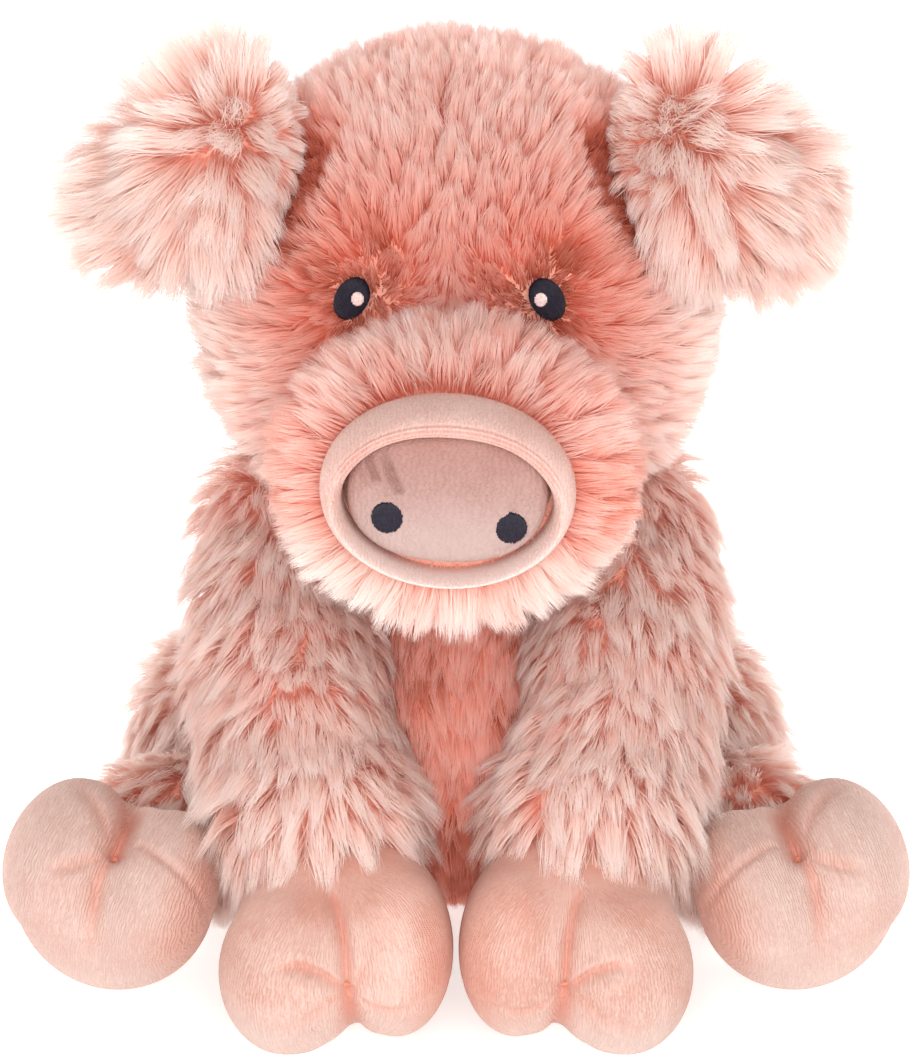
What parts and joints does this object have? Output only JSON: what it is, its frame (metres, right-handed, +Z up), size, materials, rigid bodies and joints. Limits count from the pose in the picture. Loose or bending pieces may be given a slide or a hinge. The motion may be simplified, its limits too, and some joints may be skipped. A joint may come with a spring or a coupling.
{
  "type": "plush pig",
  "caption": "Seated stuffed pig with a long-haired body, velour snout and trotters, floppy ears, a nodding head, swinging legs and a curly tail.",
  "frame": {"origin": "middle of the flat under the seat, where the toy rests", "axes": "+Z up, the pig faces -Y, and its own left side is +X"},
  "size_m": [0.243, 0.2387, 0.2561],
  "materials": {
    "long_pile": "matte",
    "velour": "matte",
    "dark_thread": "satin",
    "pale_thread": "satin",
    "toe_thread": "satin",
    "fibre_fill": "matte",
    "pouch_cloth": "matte"
  },
  "bodies": {
    "body": {"body_cover": "long_pile", "body_stuffing": "fibre_fill", "seat_pellet_pouch": "pouch_cloth"},
    "head": {"head_cover": "long_pile", "head_stuffing": "fibre_fill", "muzzle_cover": "long_pile", "muzzle_stuffing": "fibre_fill", "snout_rim": "velour", "snout_pad": "velour", "nostril_left": "dark_thread", "nostril_right": "dark_thread", "eye_left": "dark_thread", "eye_right": "dark_thread", "eye_glint_left": "pale_thread", "eye_glint_right": "pale_thread"},
    "ear_left": {"ear_left": "long_pile"},
    "ear_right": {"ear_right": "long_pile"},
    "front_leg_left": {"front_leg_cover_left": "long_pile", "front_leg_stuffing_left": "fibre_fill", "front_trotter_left": "velour", "front_toe_thread_left": "toe_thread"},
    "front_leg_right": {"front_leg_cover_right": "long_pile", "front_leg_stuffing_right": "fibre_fill", "front_trotter_right": "velour", "front_toe_thread_right": "toe_thread"},
    "hind_leg_left": {"hind_leg_cover_left": "long_pile", "hind_leg_stuffing_left": "fibre_fill", "hind_trotter_left": "velour", "hind_toe_thread_left": "toe_thread"},
    "hind_leg_right": {"hind_leg_cover_right": "long_pile", "hind_leg_stuffing_right": "fibre_fill", "hind_trotter_right": "velour", "hind_toe_thread_right": "toe_thread"},
    "tail": {"tail": "velour"}
  },
  "joints": [
    {"name": "neck_nod", "type": "hinge", "parent": "body", "child": "head", "pos_m": [0, -0.01, 0.11], "axis": [1, 0, 0], "range_deg": [-12, 8], "stiffness_Nm_per_rad": 2},
    {"name": "ear_left_lift", "type": "hinge", "parent": "head", "child": "ear_left", "pos_m": [0.035, -0.06, 0.247], "axis": [0, -1, 0], "range_deg": [0, 30], "stiffness_Nm_per_rad": 0.05},
    {"name": "ear_right_lift", "type": "hinge", "parent": "head", "child": "ear_right", "pos_m": [-0.035, -0.06, 0.247], "axis": [0, 1, 0], "range_deg": [0, 30], "stiffness_Nm_per_rad": 0.05},
    {"name": "front_leg_left_lift", "type": "hinge", "parent": "body", "child": "front_leg_left", "pos_m": [0.044, -0.034, 0.116], "axis": [1, 0, 0], "range_deg": [-15, 0], "stiffness_Nm_per_rad": 0.2},
    {"name": "front_leg_right_lift", "type": "hinge", "parent": "body", "child": "front_leg_right", "pos_m": [-0.044, -0.034, 0.116], "axis": [1, 0, 0], "range_deg": [-15, 0], "stiffness_Nm_per_rad": 0.2},
    {"name": "hind_leg_left_lift", "type": "hinge", "parent": "body", "child": "hind_leg_left", "pos_m": [0.065, -0.006, 0.0415], "axis": [-1, 0, 0], "range_deg": [0, 10], "stiffness_Nm_per_rad": 0.2},
    {"name": "hind_leg_right_lift", "type": "hinge", "parent": "body", "child": "hind_leg_right", "pos_m": [-0.065, -0.006, 0.0415], "axis": [-1, 0, 0], "range_deg": [0, 10], "stiffness_Nm_per_rad": 0.2},
    {"name": "tail_wag", "type": "hinge", "parent": "body", "child": "tail", "pos_m": [0, 0.0568, 0.046], "axis": [0, 0, 1], "range_deg": [-15, 15], "stiffness_Nm_per_rad": 0.02}
  ]
}
